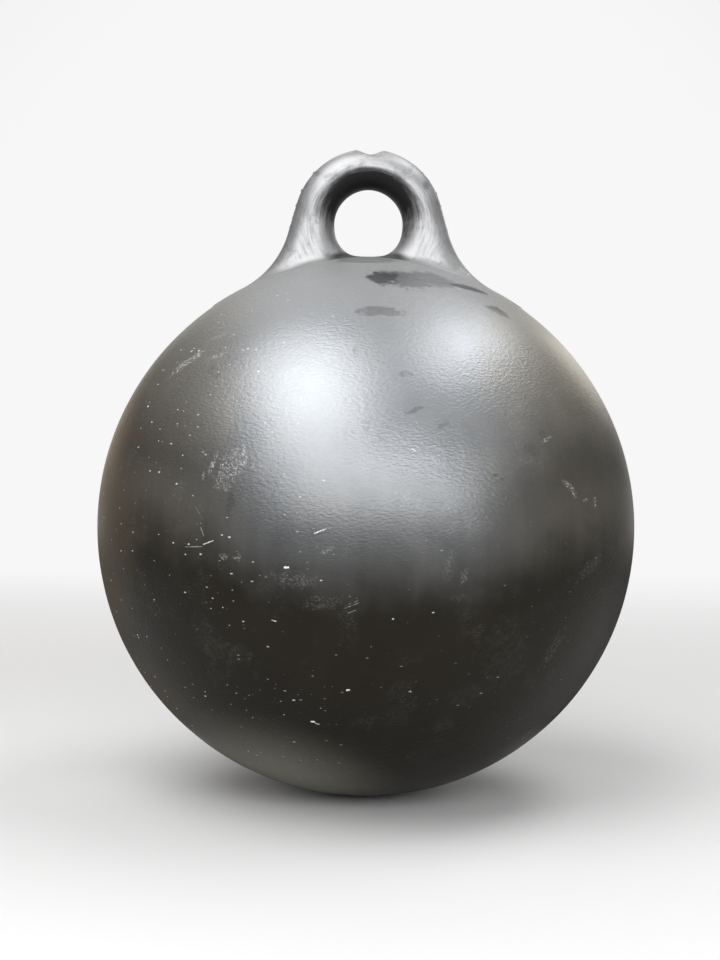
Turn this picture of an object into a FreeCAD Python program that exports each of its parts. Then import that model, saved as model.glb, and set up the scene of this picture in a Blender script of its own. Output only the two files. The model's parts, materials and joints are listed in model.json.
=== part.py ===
import FreeCAD, Part
import enum
import math
import os
import Sketcher

# Mussel float: a hollow blow-moulded ball with one solid rope eye on its crown.
# Frame, in millimetres: origin at the ball's centre, which is the working waterline.
# +Z runs up through the eye, Y runs through the eye's hole, and XZ is the plane where
# the two halves of the mould parted.

SIZES = {
    # hollow ball
    "ball_diameter": 300.0,
    "ball_wall": 4.0,
    # rope eye, as seen along Y
    "eye_bore": 38.0,
    "eye_web": 1.6,
    "ring_wall": 23.4,
    "leg_lean": 16.0,
    "flare_radius": 48.0,
    # rope eye, across the parting plane
    "eye_thickness": 25.0,
    "eye_throat": 5.0,
    "edge_round": 11.0,
    "face_band": 2.8,
    # skirt that spreads the eye's root over the ball's crown
    "root_rise": 1.0,
    "root_overhang": 3.2,
    "root_spread": 45.0,
    # nick left in the crown of the ring where the moulding was trimmed
    "nick_width": 14.0,
    "nick_depth": 2.8,
    "nick_round": 3.0,
    # thin flash along the parting plane
    "flash_height": 0.5,
    "flash_width": 1.2,
    "flash_end_gap": 0.3,
    # weld under the ball where the mould pinched it shut
    "weld_length": 72.0,
    "weld_width": 5.0,
    "weld_height": 0.8,
}

# Sizes that follow from those above, as formulas of the sheet.
BALL_RADIUS = "Sizes.ball_diameter / 2"
BORE_RADIUS = "Sizes.eye_bore / 2"
EYE_HEIGHT = f"{BALL_RADIUS} + Sizes.eye_web + {BORE_RADIUS}"
RING_RADIUS = f"{BORE_RADIUS} + Sizes.ring_wall"
EDGE_ROUND = "min(Sizes.edge_round; 0.48 * Sizes.eye_thickness)"
MOUTH_ROUND = (f"min((Sizes.eye_thickness - Sizes.eye_throat) / 2; "
               f"Sizes.ring_wall - ({EDGE_ROUND}) - Sizes.face_band)")
ROOT_DEPTH = f"{BALL_RADIUS} / 5"
ROOT_REACH = f"{RING_RADIUS} + Sizes.root_overhang - Sizes.eye_thickness / 2"
NICK_FLOOR = f"{EYE_HEIGHT} + {RING_RADIUS} - Sizes.nick_depth"
NICK_END = "Sizes.nick_width / 2 + Sizes.flash_end_gap"
WELD_END = "Sizes.weld_length / 2 + Sizes.flash_end_gap"
WELD_TOP = "Sizes.weld_width - 2 * Sizes.weld_height"


class Spot(enum.IntEnum):
    """Which point of a line or arc a sketch's constraint holds."""

    START = 1
    END = 2
    CENTRE = 3


class Axis(enum.IntEnum):
    """A sketch's own axes, as its constraints name them."""

    ACROSS = -1
    UP = -2


START, END, CENTRE = Spot
ORIGIN = (Axis.ACROSS, Spot.START)

doc = FreeCAD.newDocument("mussel_float")
sheet = doc.addObject("Spreadsheet::Sheet", "Sizes")
for row, (alias, number) in enumerate(SIZES.items(), start=1):
    sheet.set(f"A{row}", alias)
    sheet.set(f"B{row}", str(number))
    sheet.setAlias(f"B{row}", alias)
doc.recompute()


def value(formula):
    return float(sheet.evalExpression(formula))


# ---------------------------------------------------------------- sketch helpers

def point(x, y):
    return FreeCAD.Vector(x, y, 0)


def mirrored(spot):
    return point(-spot.x, spot.y)


def polar(centre, radius, degrees):
    turn = math.radians(degrees)
    return point(centre.x + radius * math.cos(turn), centre.y + radius * math.sin(turn))


def circle(centre, radius):
    return Part.Circle(centre, FreeCAD.Vector(0, 0, 1), radius)


def arc(centre, radius, first, last):
    """An arc drawn anticlockwise from one angle to the other, in degrees."""
    return Part.ArcOfCircle(circle(centre, radius), math.radians(first), math.radians(last))


def line(first, last):
    return Part.LineSegment(first, last)


def new_body(label):
    body = doc.addObject("PartDesign::Body", label)
    body.Label = label
    body.Placement = FreeCAD.Placement()
    return body


def new_sketch(body, role, name):
    sketch = body.newObject("Sketcher::SketchObject", name)
    plane = next(feature for feature in body.Origin.OriginFeatures if feature.Role == role)
    sketch.AttachmentSupport = (plane, [""])
    sketch.MapMode = "FlatFace"
    return sketch


def constrain(sketch, kind, *where):
    return sketch.addConstraint(Sketcher.Constraint(kind, *where))


def join(sketch, kind, pairs):
    for pair in pairs:
        constrain(sketch, kind, *pair)


def drive(sketch, name, formula, kind, *where):
    """Adds a dimension and ties it to a formula of the sheet."""
    index = constrain(sketch, kind, *where, value(formula))
    sketch.renameConstraint(index, name)
    sketch.setExpression(f"Constraints.{name}", formula)


def drive_slope(sketch, name, formula, edge):
    """Ties a line's angle above the sketch's first axis to a formula in degrees."""
    index = constrain(sketch, "Angle", edge, math.radians(value(formula)))
    sketch.renameConstraint(index, name)
    sketch.setExpression(f"Constraints.{name}", f"({formula}) * 1 deg")


def add_feature(body, kind, name):
    feature = body.newObject("PartDesign::" + kind, name)
    body.Tip = feature
    return feature


# ---------------------------------------------------------------- hollow ball

def half_shell(label, faces_front):
    """Half of the hollow ball: half a ring turned half a turn about the Z axis."""
    body = new_body(label)
    profile = new_sketch(body, "XZ_Plane", label + "_profile")
    outer = value(BALL_RADIUS)
    inner = outer - value("Sizes.ball_wall")
    outside = profile.addGeometry(arc(point(0, 0), outer, -90, 90))
    inside = profile.addGeometry(arc(point(0, 0), inner, -90, 90))
    crown = profile.addGeometry(line(point(0, inner), point(0, outer)))
    foot = profile.addGeometry(line(point(0, -inner), point(0, -outer)))
    join(profile, "Coincident", [
        (outside, CENTRE, *ORIGIN),
        (inside, CENTRE, *ORIGIN),
        (crown, START, inside, END),
        (crown, END, outside, END),
        (foot, START, inside, START),
        (foot, END, outside, START),
    ])
    for ring in (outside, inside):
        for end in (START, END):
            constrain(profile, "PointOnObject", ring, end, Axis.UP)
    drive(profile, "outer_radius", BALL_RADIUS, "Radius", outside)
    drive(profile, "wall", "Sizes.ball_wall", "DistanceY", crown, START, crown, END)
    turn = add_feature(body, "Revolution", label + "_turn")
    turn.Profile = profile
    turn.ReferenceAxis = (profile, ["V_Axis"])
    turn.Angle = 180
    turn.Reversed = faces_front
    return body


# ---------------------------------------------------------------- rope eye

def flare_centre():
    """Centre of the arc that leads from the right-hand leg out to the ball.

    The leg leaves the ring on a tangent, leaning out by leg_lean. The arc is tangent to
    the leg and to the ball, so its centre lies ball radius + flare radius from the origin.
    """
    lean = math.radians(value("Sizes.leg_lean"))
    reach = value(RING_RADIUS) + value("Sizes.flare_radius")
    beside = point(reach * math.cos(lean), value(EYE_HEIGHT) + reach * math.sin(lean))
    down = point(math.sin(lean), -math.cos(lean))
    far = value(BALL_RADIUS) + value("Sizes.flare_radius")
    along = beside.dot(down)
    drop = -along - math.sqrt(along ** 2 - beside.dot(beside) + far ** 2)
    return beside + down * drop


def eye_outline(sketch):
    """Ring, legs and flares, closed by a chord that lies inside the ball."""
    lean = value("Sizes.leg_lean")
    ring_radius = value(RING_RADIUS)
    flare = value("Sizes.flare_radius")
    eye = point(0, value(EYE_HEIGHT))
    turn = flare_centre()
    touch = 180 + math.degrees(math.atan2(turn.y, turn.x))
    leg_top = polar(eye, ring_radius, lean)
    leg_foot = polar(turn, flare, 180 + lean)
    on_ball = polar(turn, flare, touch)

    ring = sketch.addGeometry(arc(eye, ring_radius, lean, 180 - lean))
    leg = sketch.addGeometry(line(leg_top, leg_foot))
    bend = sketch.addGeometry(arc(turn, flare, 180 + lean, touch))
    chord = sketch.addGeometry(line(on_ball, mirrored(on_ball)))
    left_bend = sketch.addGeometry(arc(mirrored(turn), flare, 180 - touch, -lean))
    left_leg = sketch.addGeometry(line(mirrored(leg_foot), mirrored(leg_top)))
    ball = sketch.addGeometry(circle(point(0, 0), value(BALL_RADIUS)), True)

    constrain(sketch, "PointOnObject", ring, CENTRE, Axis.UP)
    join(sketch, "Coincident", [
        (ball, CENTRE, *ORIGIN),
        (bend, END, chord, START),
        (chord, END, left_bend, START),
    ])
    join(sketch, "Tangent", [
        (ring, START, leg, START),
        (leg, END, bend, START),
        (left_bend, END, left_leg, START),
        (left_leg, END, ring, END),
        (bend, END, ball),
        (left_bend, START, ball),
    ])
    constrain(sketch, "Equal", bend, left_bend)
    drive(sketch, "eye_height", EYE_HEIGHT, "DistanceY", *ORIGIN, ring, CENTRE)
    drive(sketch, "ring_radius", RING_RADIUS, "Radius", ring)
    drive(sketch, "ball_radius", BALL_RADIUS, "Radius", ball)
    drive(sketch, "flare_radius", "Sizes.flare_radius", "Radius", bend)
    drive_slope(sketch, "right_slope", "Sizes.leg_lean - 90", leg)
    drive_slope(sketch, "left_slope", "90 - Sizes.leg_lean", left_leg)
    return sketch


def bore_circle(sketch):
    hole = sketch.addGeometry(circle(point(0, value(EYE_HEIGHT)), value(BORE_RADIUS)))
    constrain(sketch, "PointOnObject", hole, CENTRE, Axis.UP)
    drive(sketch, "eye_height", EYE_HEIGHT, "DistanceY", *ORIGIN, hole, CENTRE)
    drive(sketch, "bore_radius", BORE_RADIUS, "Radius", hole)
    return sketch


def root_slot(sketch):
    """Top of the skirt: a slot as wide as the eye is thick, just above the ball's crown."""
    sketch.setExpression("AttachmentOffset.Base.z", f"{BALL_RADIUS} + Sizes.root_rise")
    radius = value("Sizes.eye_thickness / 2")
    reach = value(ROOT_REACH)
    right = sketch.addGeometry(arc(point(reach, 0), radius, -90, 90))
    back = sketch.addGeometry(line(point(reach, radius), point(-reach, radius)))
    left = sketch.addGeometry(arc(point(-reach, 0), radius, 90, 270))
    front = sketch.addGeometry(line(point(-reach, -radius), point(reach, -radius)))
    join(sketch, "Tangent", [
        (right, END, back, START),
        (back, END, left, START),
        (left, END, front, START),
        (front, END, right, START),
    ])
    constrain(sketch, "Symmetric", right, CENTRE, left, CENTRE, *ORIGIN)
    constrain(sketch, "PointOnObject", right, CENTRE, Axis.ACROSS)
    drive(sketch, "end_radius", "Sizes.eye_thickness / 2", "Radius", right)
    drive(sketch, "reach", ROOT_REACH, "DistanceX", *ORIGIN, right, CENTRE)
    return sketch


def nick_outline(sketch):
    """A shallow V whose sides pass through the nick's edges and run on above the ring."""
    valley = point(0, value(NICK_FLOOR))
    corner = valley + point(value("Sizes.nick_width"), value("2 * Sizes.nick_depth"))
    right = sketch.addGeometry(line(valley, corner))
    lid = sketch.addGeometry(line(corner, mirrored(corner)))
    left = sketch.addGeometry(line(mirrored(corner), valley))
    join(sketch, "Coincident", [
        (right, END, lid, START),
        (lid, END, left, START),
        (left, END, right, START),
    ])
    constrain(sketch, "PointOnObject", right, START, Axis.UP)
    constrain(sketch, "Symmetric", lid, START, lid, END, Axis.UP)
    drive(sketch, "valley_height", NICK_FLOOR, "DistanceY", *ORIGIN, right, START)
    drive(sketch, "side_rise", "2 * Sizes.nick_depth", "DistanceY", right, START, right, END)
    drive(sketch, "side_run", "Sizes.nick_width", "DistanceX", right, START, right, END)
    return sketch


def edges_where(shape, wanted):
    return [f"Edge{number}" for number, edge in enumerate(shape.Edges, start=1) if wanted(edge)]


def near(first, second):
    return abs(first - second) < 1e-3


def is_round(edge, radius):
    return isinstance(edge.Curve, Part.Circle) and near(edge.Curve.Radius, radius)


def rope_eye(label):
    """A rounded plate of the eye's outline on a spreading skirt, seated on the ball."""
    half = value("Sizes.eye_thickness / 2")
    bore_radius = value(BORE_RADIUS)
    centre = flare_centre()
    chord_height = centre.y * value(BALL_RADIUS) / centre.Length

    body = new_body(label)
    plate = add_feature(body, "Pad", "eye_plate")
    plate.Profile = eye_outline(new_sketch(body, "XZ_Plane", "eye_outline"))
    plate.Midplane = True
    plate.setExpression("Length", "Sizes.eye_thickness")

    hole = add_feature(body, "Pocket", "eye_hole")
    hole.Profile = bore_circle(new_sketch(body, "XZ_Plane", "eye_bore_circle"))
    hole.Midplane = True
    hole.Type = "ThroughAll"
    doc.recompute()

    mouths = add_feature(body, "Fillet", "eye_mouths")
    mouths.Base = (hole, edges_where(hole.Shape, lambda edge: is_round(edge, bore_radius)))
    mouths.setExpression("Radius", MOUTH_ROUND)
    doc.recompute()

    mouth_radius = bore_radius + value(MOUTH_ROUND)
    rounding = add_feature(body, "Fillet", "eye_rounding")
    rounding.Base = (mouths, edges_where(mouths.Shape, lambda edge: (
        near(abs(edge.CenterOfMass.y), half)
        and not is_round(edge, mouth_radius)
        and not near(edge.CenterOfMass.z, chord_height))))
    rounding.setExpression("Radius", EDGE_ROUND)

    skirt = add_feature(body, "Pad", "eye_skirt")
    skirt.Profile = root_slot(new_sketch(body, "XY_Plane", "root_slot"))
    skirt.Reversed = True
    skirt.setExpression("Length", ROOT_DEPTH)
    skirt.setExpression("TaperAngle", "Sizes.root_spread * 1 deg")

    nick = add_feature(body, "Pocket", "crown_nick")
    nick.Profile = nick_outline(new_sketch(body, "XZ_Plane", "nick_outline"))
    nick.Midplane = True
    nick.Type = "ThroughAll"
    doc.recompute()

    valley = add_feature(body, "Fillet", "nick_valley")
    valley.Base = (nick, edges_where(nick.Shape, lambda edge: (
        near(edge.CenterOfMass.x, 0)
        and near(edge.CenterOfMass.z, value(NICK_FLOOR))
        and not near(edge.BoundBox.YLength, 0))))
    valley.setExpression("Radius", "Sizes.nick_round")

    seat = add_feature(body, "SubtractiveSphere", "ball_seat")
    seat.setExpression("Radius", BALL_RADIUS)
    return body


# ---------------------------------------------------------------- parting plane

def outline_side(sketch, name, grow):
    """Right-hand outline of eye and ball, moved outwards by grow, from nick to weld."""
    ring_formula = f"{RING_RADIUS} + {grow}"
    bend_formula = f"Sizes.flare_radius - {grow}"
    ball_formula = f"{BALL_RADIUS} + {grow}"
    lean = value("Sizes.leg_lean")
    ring_radius = value(ring_formula)
    ball_radius = value(ball_formula)
    eye = point(0, value(EYE_HEIGHT))
    turn = flare_centre()
    touch = math.degrees(math.atan2(turn.y, turn.x))
    ring_end = math.degrees(math.acos(value(NICK_END) / ring_radius))
    ball_end = -math.degrees(math.acos(value(WELD_END) / ball_radius))

    ring = sketch.addGeometry(arc(eye, ring_radius, lean, ring_end))
    bend = sketch.addGeometry(arc(turn, value(bend_formula), 180 + lean, 180 + touch))
    leg = sketch.addGeometry(line(sketch.getPoint(ring, START), sketch.getPoint(bend, START)))
    ball = sketch.addGeometry(arc(point(0, 0), ball_radius, ball_end, touch))
    constrain(sketch, "PointOnObject", ring, CENTRE, Axis.UP)
    constrain(sketch, "Coincident", ball, CENTRE, *ORIGIN)
    join(sketch, "Tangent", [
        (ring, START, leg, START),
        (leg, END, bend, START),
        (bend, END, ball, END),
    ])
    drive(sketch, name + "_eye_height", EYE_HEIGHT, "DistanceY", *ORIGIN, ring, CENTRE)
    drive(sketch, name + "_ring", ring_formula, "Radius", ring)
    drive(sketch, name + "_bend", bend_formula, "Radius", bend)
    drive(sketch, name + "_ball", ball_formula, "Radius", ball)
    drive_slope(sketch, name + "_slope", "Sizes.leg_lean - 90", leg)
    return ring, ball


def parting_flash(label):
    """A thin strip along the parting plane, from the nick down the right side to the weld."""
    body = new_body(label)
    strip = new_sketch(body, "XZ_Plane", label + "_strip")
    ring, ball = outline_side(strip, "inner", "0")
    outer_ring, outer_ball = outline_side(strip, "outer", "Sizes.flash_height")
    top = strip.addGeometry(line(strip.getPoint(ring, END), strip.getPoint(outer_ring, END)))
    foot = strip.addGeometry(line(strip.getPoint(ball, START), strip.getPoint(outer_ball, START)))
    join(strip, "Coincident", [
        (top, START, ring, END),
        (top, END, outer_ring, END),
        (foot, START, ball, START),
        (foot, END, outer_ball, START),
    ])
    constrain(strip, "Vertical", top)
    constrain(strip, "Vertical", foot)
    drive(strip, "nick_end", NICK_END, "DistanceX", *ORIGIN, top, START)
    drive(strip, "weld_end", WELD_END, "DistanceX", *ORIGIN, foot, START)
    pad = add_feature(body, "Pad", label + "_pad")
    pad.Profile = strip
    pad.Midplane = True
    pad.setExpression("Length", "Sizes.flash_width")
    return body


def mirrored_flash(label, source):
    twin = doc.addObject("Part::Mirroring", label)
    twin.Label = label
    twin.Source = source
    twin.Normal = FreeCAD.Vector(1, 0, 0)
    return twin


def pinch_weld(label):
    """A low ridge bent round the bottom of the ball, along the parting plane."""
    ball_radius = value(BALL_RADIUS)
    half = value("Sizes.weld_width / 2")
    spread = math.degrees(math.asin(half / ball_radius))
    foot = polar(point(0, 0), ball_radius, -90 + spread)
    crest = point(value(WELD_TOP) / 2, -ball_radius - value("Sizes.weld_height"))

    body = new_body(label)
    section = new_sketch(body, "YZ_Plane", "weld_section")
    seat = section.addGeometry(arc(point(0, 0), ball_radius, -90 - spread, -90 + spread))
    right = section.addGeometry(line(foot, crest))
    top = section.addGeometry(line(crest, mirrored(crest)))
    left = section.addGeometry(line(mirrored(crest), mirrored(foot)))
    join(section, "Coincident", [
        (seat, CENTRE, *ORIGIN),
        (seat, END, right, START),
        (right, END, top, START),
        (top, END, left, START),
        (left, END, seat, START),
    ])
    constrain(section, "Symmetric", seat, START, seat, END, Axis.UP)
    constrain(section, "Symmetric", top, START, top, END, Axis.UP)
    drive(section, "ball_radius", BALL_RADIUS, "Radius", seat)
    drive(section, "weld_width", "Sizes.weld_width", "DistanceX", seat, START, seat, END)
    drive(section, "top_width", WELD_TOP, "DistanceX", top, END, top, START)
    drive(section, "top_depth", f"{BALL_RADIUS} + Sizes.weld_height", "DistanceY",
          top, START, *ORIGIN)
    turn = add_feature(body, "Revolution", "weld_turn")
    turn.Profile = section
    turn.ReferenceAxis = (section, ["H_Axis"])
    turn.Midplane = True
    turn.setExpression("Angle", "2 * asin(Sizes.weld_length / Sizes.ball_diameter)")
    return body


# ---------------------------------------------------------------- build, check and write

right_flash = parting_flash("parting_flash_right")
PIECES = [
    half_shell("shell_front", True),
    half_shell("shell_back", False),
    rope_eye("rope_eye"),
    right_flash,
    mirrored_flash("parting_flash_left", right_flash),
    pinch_weld("bottom_pinch_weld"),
]
doc.recompute()

for item in doc.Objects:
    if "Invalid" in item.State or "Error" in item.State:
        raise RuntimeError(f"{item.Label} failed: {item.State} {item.getStatusString()}")
for piece in PIECES:
    if piece.Shape.isNull() or not piece.Shape.isValid() or len(piece.Shape.Solids) != 1:
        raise RuntimeError(f"{piece.Label} isn't one valid solid")

os.makedirs("parts", exist_ok=True)
for piece in PIECES:
    solid = piece.Shape.Solids[0]
    solid.exportStep(f"parts/{piece.Label}.step")
    print(f"{piece.Label}: {solid.Volume:.0f} mm3")
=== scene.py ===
import json
import math

import bpy
import numpy as np
from mathutils import Matrix, Vector


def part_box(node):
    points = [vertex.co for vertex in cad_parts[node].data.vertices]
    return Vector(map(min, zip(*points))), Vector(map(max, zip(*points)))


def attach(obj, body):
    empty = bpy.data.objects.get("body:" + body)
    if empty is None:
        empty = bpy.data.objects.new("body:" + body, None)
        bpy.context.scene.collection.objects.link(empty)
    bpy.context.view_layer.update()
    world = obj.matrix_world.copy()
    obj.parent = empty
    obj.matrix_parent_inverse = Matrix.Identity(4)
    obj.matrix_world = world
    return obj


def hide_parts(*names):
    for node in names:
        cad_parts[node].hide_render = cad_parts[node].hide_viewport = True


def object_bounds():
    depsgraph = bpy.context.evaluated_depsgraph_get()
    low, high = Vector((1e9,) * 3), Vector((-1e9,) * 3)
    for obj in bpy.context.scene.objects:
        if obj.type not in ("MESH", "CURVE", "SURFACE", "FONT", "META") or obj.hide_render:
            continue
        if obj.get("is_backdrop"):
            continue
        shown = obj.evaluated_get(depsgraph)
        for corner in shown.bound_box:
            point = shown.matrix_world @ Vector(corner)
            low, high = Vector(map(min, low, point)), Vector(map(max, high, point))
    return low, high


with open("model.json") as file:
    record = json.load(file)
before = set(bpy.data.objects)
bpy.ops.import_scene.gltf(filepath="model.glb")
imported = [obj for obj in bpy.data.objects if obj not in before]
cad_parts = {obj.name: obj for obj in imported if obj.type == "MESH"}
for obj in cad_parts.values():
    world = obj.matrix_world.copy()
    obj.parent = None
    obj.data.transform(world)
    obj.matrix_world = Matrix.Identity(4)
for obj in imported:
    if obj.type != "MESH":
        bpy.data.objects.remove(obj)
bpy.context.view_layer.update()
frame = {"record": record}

# ---------------------------------------------------------------- sizes, in millimetres and degrees
MM = 0.001


def in_mm(node):
    """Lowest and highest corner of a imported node, in millimetres."""
    return [np.array(corner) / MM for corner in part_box(node)]


SHELL_HIGH = in_mm("shell_front")[1]
EYE_LOW, EYE_HIGH = in_mm("rope_eye")
WELD_HIGH = in_mm("bottom_pinch_weld")[1]
EYE_MOUNT = next(m for m in frame["record"]["mounts"] if m["name"] == "rope_eye")

SKIN_INSET = 0.12
BALL_RADIUS = float(SHELL_HIGH[0]) - SKIN_INSET
EYE_SINK = 1.5
CROWN_INSET = 2.0
EYE_CENTRE = EYE_MOUNT["pos_m"][2] / MM - EYE_SINK
BORE_RADIUS = EYE_MOUNT["dims"]["r_mm"]
RING_RADIUS = float(EYE_HIGH[2]) - CROWN_INSET - EYE_CENTRE
LEG_LEAN = math.radians(16)
FLARE_RADIUS = 50.0

EYE_HALF_THICKNESS = 12.5
LEG_DRAFT = 0.17
DRAFT_START = 6.0
DRAFT_EASE = 14.0
EDGE_ROUND = 11.0
MOUTH_ROUND = 12.4
# How square the bore is at its foot and at its top; 2 is a circle.
BORE_FOOT_POWER = 2.35
BORE_TOP_POWER = 1.93

ROOT_TOP = BALL_RADIUS - 3.0
ROOT_HALF_LENGTH = 44.0
ROOT_HALF_WIDTH = 18.5
ROOT_EDGE = 6.0
ROOT_DEPTH = 0.7 * BALL_RADIUS
ROOT_BLEND = 7.0
# The fillet grows from nothing at its start height to its full reach over the ease.
CROTCH_FILLET = 3.0
FILLET_START = 134.0
FILLET_EASE = 12.0
FILLET_LEAST = 0.02
SEAT_OVERLAP = 0.01

NICK_CENTRE = 1.0
NICK_HALF_WIDTH = 7.2
NICK_FLOOR = 37.7
NICK_SLOPE = math.radians(32)
NICK_ROUND = 3.0
NICK_EDGE = 0.5

WELD_HALF_LENGTH = float(WELD_HIGH[0])
WELD_HALF_WIDTH = float(WELD_HIGH[1])
WELD_RISE = 0.7
WELD_STEPS = 121
WELD_LANES = 9
FLASH_RISE = 0.10
FLASH_TALLEST_ON_BALL = 0.3
FLASH_LOWEST = 0.02
FLASH_FADE = 3.0
FLASH_HALF_WIDTH = 0.5
FLASH_TOP_SHARE = 0.45
FLASH_ROOT = -0.5
FLASH_STEP = 0.5
# Burrs on the eye's outline: degrees from its top, rise, half width in degrees.
BURRS = {
    "right": ((46, 0.35, 1.3), (54, 0.30, 0.9), (65, 0.45, 1.1), (75.5, 0.35, 0.9), (84, 0.2, 1.0)),
    "left": ((30, 0.15, 1.6), (47, 0.75, 1.3), (63.5, 0.70, 1.6), (76, 0.45, 1.1), (86, 0.3, 1.2),
             (92, 0.3, 1.0)),
}

# Slow waves of the blown wall: length, height and number; they end below the eye.
WALL_WAVES = ((95, 0.022, 5), (48, 0.009, 7), (22, 0.003, 9))
WAVES_TOP = 112.0
WAVES_EASE = 22.0

EYE_CELL = 0.72
EYE_NET_MARGIN = (16.0, 4.0)
EYE_NET_BELOW = 18.0
EYE_NET_ABOVE = 2.0
BALL_QUADS = 306
PROBE = 0.05
# The search for the outline: turns round the origin, and steps inwards along each of them.
WALK_TURNS = 6000
WALK_ABOVE = 4.0
WALK_BELOW = 1.5
WALK_STEP = 0.5


# ---------------------------------------------------------------- shapes as distances, in millimetres
def soft_join(a, b, reach):
    """Both shapes, with the corner between them filled over that reach."""
    overlap = np.maximum(reach - np.abs(a - b), 0) / reach
    return np.minimum(a, b) - overlap * overlap * reach / 4


def round_cut(a, b, radius):
    """What both shapes hold, with the edge between them rounded."""
    rest = np.minimum(np.maximum(a, b), -radius)
    return rest + np.hypot(np.maximum(a + radius, 0), np.maximum(b + radius, 0))


def flare_centre():
    """Centre of the arc that leads a leg out onto the ball, on the right side."""
    off_leg = RING_RADIUS + FLARE_RADIUS + EYE_CENTRE * math.sin(LEG_LEAN)
    up_leg = math.sqrt((BALL_RADIUS + FLARE_RADIUS) ** 2 - off_leg ** 2)
    across = off_leg * math.cos(LEG_LEAN) - up_leg * math.sin(LEG_LEAN)
    height = off_leg * math.sin(LEG_LEAN) + up_leg * math.cos(LEG_LEAN)
    return across, height


FLARE_X, FLARE_Z = flare_centre()


def eye_outline(x, z):
    """Distance from the eye's outline seen from the front: ring, leaning legs and flares."""
    side = np.abs(x)
    rise = z - EYE_CENTRE
    down_leg = side * math.sin(LEG_LEAN) - rise * math.cos(LEG_LEAN)
    off_leg = side * math.cos(LEG_LEAN) + rise * math.sin(LEG_LEAN) - RING_RADIUS
    ring_and_legs = np.where(down_leg < 0, np.hypot(side, rise) - RING_RADIUS, off_leg)
    ball = np.hypot(side, z) - BALL_RADIUS
    from_x = side - FLARE_X
    from_z = z - FLARE_Z
    past_leg = from_z * math.cos(LEG_LEAN) - from_x * math.sin(LEG_LEAN) < 0
    before_ball = from_x * FLARE_Z - from_z * FLARE_X < 0
    flare = FLARE_RADIUS - np.hypot(from_x, from_z)
    return np.where(past_leg & before_ball, flare, np.minimum(ring_and_legs, ball))


def eye_bore(x, z):
    """Distance into the bore, a little square at its foot and peaked at its top."""
    rise = z - EYE_CENTRE
    power = np.where(rise < 0, BORE_FOOT_POWER, BORE_TOP_POWER)
    size = (np.abs(x) ** power + np.abs(rise) ** power) ** (1 / power)
    return BORE_RADIUS - size


def root_and_ball(x, y, z):
    """The ball with the low swelling that carries the eye."""
    ball = np.sqrt(x * x + y * y + z * z) - BALL_RADIUS
    end = np.maximum(np.abs(x) - (ROOT_HALF_LENGTH - ROOT_HALF_WIDTH), 0)
    slot = np.hypot(end, y) - ROOT_HALF_WIDTH
    swelling = round_cut(slot, z - ROOT_TOP, ROOT_EDGE)
    return soft_join(ball, np.maximum(swelling, ROOT_DEPTH - z), ROOT_BLEND)


def eye_plate(x, y, z):
    """The eye itself: a plate with rounded edges and mouths, thicker towards its root."""
    below = np.maximum(EYE_CENTRE + DRAFT_START - z, 0)
    faces = np.abs(y) - EYE_HALF_THICKNESS - LEG_DRAFT * below * below / (below + DRAFT_EASE)
    plate = round_cut(faces, eye_outline(x, z), EDGE_ROUND)
    ring = round_cut(plate, eye_bore(x, z), MOUTH_ROUND)
    off_nick = np.sqrt((x - NICK_CENTRE) ** 2 + NICK_ROUND ** 2) - NICK_ROUND
    nick = (z - EYE_CENTRE - NICK_FLOOR) * math.cos(NICK_SLOPE) - off_nick * math.sin(NICK_SLOPE)
    return round_cut(ring, nick, NICK_EDGE)


def eye_on_ball(x, y, z):
    """The eye where it grows out of the ball, with a fillet that fades out along the flares."""
    fillet = CROTCH_FILLET * np.clip((z - FILLET_START) / FILLET_EASE, FILLET_LEAST, 1)
    return soft_join(eye_plate(x, y, z), root_and_ball(x, y, z) + SEAT_OVERLAP, fillet)


def slope_of(distance, points, step=0.02):
    """Outward slope of a distance at the points."""
    slope = np.empty_like(points)
    for axis in range(3):
        shift = np.zeros(3)
        shift[axis] = step
        ahead = distance(*(points + shift).T)
        behind = distance(*(points - shift).T)
        slope[:, axis] = (ahead - behind) / (2 * step)
    return slope


def pull_onto(distance, points, rounds=4, limit=0.6):
    """Moves the points along the slope onto the surface."""
    for _ in range(rounds):
        slope = slope_of(distance, points)
        size = np.maximum((slope * slope).sum(1), 0.05)
        move = slope * (distance(*points.T) / size)[:, None]
        length = np.linalg.norm(move, axis=1, keepdims=True)
        points = points - move * np.minimum(1, limit / np.maximum(length, 1e-9))
    return points


def net_surface(distance, low, high, cell):
    """Quads over the surface of a shape: one point in each cell that the surface crosses."""
    grid = [np.arange(a, b, cell) for a, b in zip(low, high)]
    inside = distance(*np.meshgrid(*grid, indexing="ij")) < 0
    count = np.zeros(tuple(n - 1 for n in inside.shape), int)
    for i in (0, 1):
        for j in (0, 1):
            for k in (0, 1):
                count += inside[i:i + count.shape[0], j:j + count.shape[1], k:k + count.shape[2]]
    crossed = (count > 0) & (count < 8)
    number = np.full(count.shape, -1)
    number[crossed] = np.arange(crossed.sum())
    points = np.stack([grid[a][index] + cell / 2 for a, index in enumerate(np.nonzero(crossed))], 1)
    quads = [edge_quads(inside, number, axis) for axis in range(3)]
    return points, np.concatenate(quads)


def edge_quads(inside, number, axis):
    """The quads round the grid edges along one axis that the surface cuts."""
    flags = np.moveaxis(inside, axis, 0)
    cells = np.moveaxis(number, axis, 0)
    cut = flags[1:, 1:-1, 1:-1] != flags[:-1, 1:-1, 1:-1]
    leaving = flags[:-1, 1:-1, 1:-1][cut]
    if axis == 1:
        leaving = ~leaving
    i, j, k = np.nonzero(cut)
    quads = np.stack([cells[i, j, k], cells[i, j + 1, k], cells[i, j + 1, k + 1], cells[i, j, k + 1]], 1)
    quads[~leaving] = quads[~leaving][:, ::-1]
    return quads


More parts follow.
